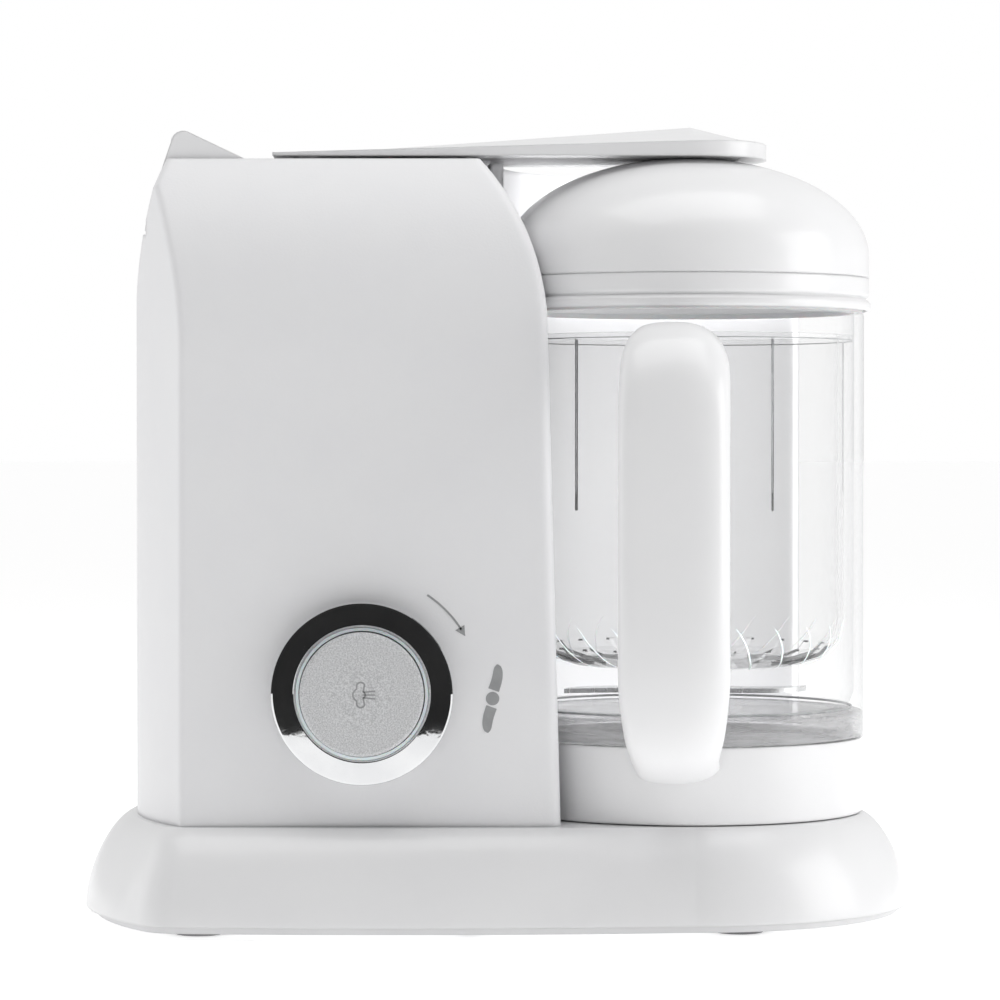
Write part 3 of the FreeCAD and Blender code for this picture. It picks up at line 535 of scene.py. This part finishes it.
def steam_symbol():
    """Small cloud outline with jets to its right, on the button."""
    spot = Vector((knob_centre.x, 0, knob_centre.z))
    depth = button_front + MARK_THICK
    cloud_line = 0.5
    cloud = arc_points(1.45, 20, 200, 14, -0.2, 2.5) + arc_points(2.0, 140, 220, 10, -0.75, 0.0)
    cloud += arc_points(1.45, 160, 340, 14, -0.2, -2.5) + arc_points(1.2, -60, 60, 8, 0.2, 0.0)
    count = len(cloud)
    inner = []
    for step, (x, z) in enumerate(cloud):
        ahead = cloud[(step + 1) % count]
        behind = cloud[step - 1]
        dx = ahead[0] - behind[0]
        dz = ahead[1] - behind[1]
        size = math.hypot(dx, dz)
        inner.append((x - dz / size * cloud_line, z + dx / size * cloud_line))
    mesh_data = bmesh.new()
    rings = []
    for loop in (cloud, inner):
        for y in (depth, depth - MARK_THICK):
            ring = []
            for x, z in loop:
                ring.append(mesh_data.verts.new((spot.x + x * MM, y, spot.z + z * MM)))
            rings.append(ring)
    order = [rings[0], rings[1], rings[3], rings[2], rings[0]]
    for ring, after in zip(order, order[1:]):
        for step in range(count):
            following = (step + 1) % count
            mesh_data.faces.new((ring[step], ring[following], after[following], after[step]))
    bmesh.ops.recalc_face_normals(mesh_data, faces=mesh_data.faces)
    piece_from("steam_mark_cloud", mesh_data, "grey_plastic", "button", paint="print_grey",
               smooth=False)
    steps = 8
    for index, height in enumerate((1.0, 0.0, -1.0)):
        jet = []
        for step in range(steps + 1):
            jet.append((0.4 + 3.7 * step / steps, height * (0.8 + 0.35 * step / steps)))
        flat_mark("steam_mark_jet%d" % index, stroke(jet, 0.42), depth, "button", spot)


# ---------------------------------------------------------------- stage, light and camera

def plain(name, colour, rough):
    """A plain matt material for the stage."""
    return finish_material(name, colour, colour, rough, 40, 0.0)


def stage():
    """A wide pale floor with a glow of its own, so that it is as white as the photo's."""
    glow = 0.5
    bpy.ops.mesh.primitive_plane_add(size=60, location=(0, 0, 0))
    floor = bpy.context.object
    floor.name = "floor"
    pale = plain("floor", (0.80, 0.80, 0.80), (0.7, 0.72))
    shader = pale.node_tree.nodes["Principled BSDF"]
    shader.inputs["Emission Color"].default_value = (1, 1, 1, 1)
    shader.inputs["Emission Strength"].default_value = glow
    floor.data.materials.append(pale)


def softbox(name, place, aim, size, watts):
    """A rectangular area light at a place, aimed at a point."""
    data = bpy.data.lights.new(name, "AREA")
    data.shape = "RECTANGLE"
    data.size = size[0]
    data.size_y = size[1]
    data.energy = watts
    lamp = bpy.data.objects.new(name, data)
    bpy.context.collection.objects.link(lamp)
    lamp.location = place
    lamp.rotation_euler = (Vector(aim) - Vector(place)).to_track_quat("-Z", "Y").to_euler()
    return lamp


def surroundings():
    """A white room to the camera, which lights the object less, and least from the front."""
    front_level = 0.235
    rear_level = 0.72
    seen_level = 1.0
    world = bpy.data.worlds.new("studio")
    world.use_nodes = True
    tree = world.node_tree
    place = node(tree, "ShaderNodeTexCoord")
    parts = node(tree, "ShaderNodeSeparateXYZ")
    tree.links.new(place.outputs["Generated"], parts.inputs["Vector"])
    level = node(tree, "ShaderNodeMapRange")
    level.inputs["From Min"].default_value = -0.75
    level.inputs["From Max"].default_value = 0.15
    level.inputs["To Min"].default_value = front_level
    level.inputs["To Max"].default_value = rear_level
    tree.links.new(parts.outputs["Y"], level.inputs["Value"])
    seen = node(tree, "ShaderNodeLightPath")
    choose = node(tree, "ShaderNodeMix", data_type="FLOAT")
    tree.links.new(seen.outputs["Is Camera Ray"], choose.inputs["Factor"])
    tree.links.new(level.outputs["Result"], choose.inputs[NUMBER_A])
    choose.inputs[NUMBER_B].default_value = seen_level
    tree.links.new(choose.outputs[NUMBER_OUT], tree.nodes["Background"].inputs["Strength"])
    tree.nodes["Background"].inputs["Color"].default_value = (1, 1, 1, 1)
    bpy.context.scene.world = world


def dark_flag():
    """A dark card in front of the object, seen only in reflections."""
    card_y = -0.832
    half = 1.2
    high = 1.1
    mesh_data = bmesh.new()
    corners = ((-half, 0.0), (half, 0.0), (half, high), (-half, high))
    mesh_data.faces.new([mesh_data.verts.new((x, card_y, z)) for x, z in corners])
    mesh = bpy.data.meshes.new("dark_flag")
    mesh_data.to_mesh(mesh)
    mesh_data.free()
    card = bpy.data.objects.new("dark_flag", mesh)
    bpy.context.collection.objects.link(card)
    mesh.materials.append(plain("flag_black", (0.002, 0.002, 0.002), (0.8, 0.9)))
    card.visible_camera = False
    card.visible_diffuse = False
    card.visible_shadow = False
    card.visible_transmission = False


def jug_fill(slots):
    """A shadowless light that reaches only three things seen through the jug."""
    fill = softbox("jug_fill", (0.15, -1.0, 0.2), (0.06, 0.05, 0.12), (0.5, 0.5), 12.5)
    fill.data.use_shadow = False
    fill.visible_glossy = False
    lit = bpy.data.collections.new("jug_fill_lights_these")
    for name in ("tower_rear_shell", "blade"):
        lit.objects.link(frame["nodes"][name])
    lit.objects.link(slots)
    fill.light_linking.receiver_collection = lit


def lights(slots):
    """The room, a dark card, soft light from above and both sides, and the jug's own light."""
    surroundings()
    dark_flag()
    target = (0, 0, 0.12)
    softbox("top", (0.05, -0.15, 1.2), target, (1.2, 0.8), 5.6)
    softbox("left", (-1.2, 0.25, 0.45), target, (0.7, 0.9), 1.2)
    softbox("right", (1.2, -0.25, 0.4), target, (0.7, 0.9), 5.0)
    jug_fill(slots)


def camera():
    """In front of the object, a little above half its height, looking slightly down."""
    data = bpy.data.cameras.new("camera")
    data.lens = 136.8
    data.sensor_width = 36.0
    data.clip_start = 0.05
    view = bpy.data.objects.new("camera", data)
    bpy.context.collection.objects.link(view)
    side = 0.001
    height = 0.145
    distance = 1.178           # from the jug's axis, along y
    drop = 0.01736             # fall of the line of sight over that distance
    view.location = (side, bowl_axis.y - distance, height)
    aim = Vector((side, bowl_axis.y, height - drop))
    view.rotation_euler = (aim - view.location).to_track_quat("-Z", "Y").to_euler()
    bpy.context.scene.camera = view


dress_cad()
handle()
jug_floor()
rib_shades()
rim_line()
bright_slots = slot_highlights()
turn_arrow()
blade_symbol()
steam_symbol()
stage()
lights(bright_slots)
camera()
bpy.context.scene.view_settings.view_transform = "Standard"
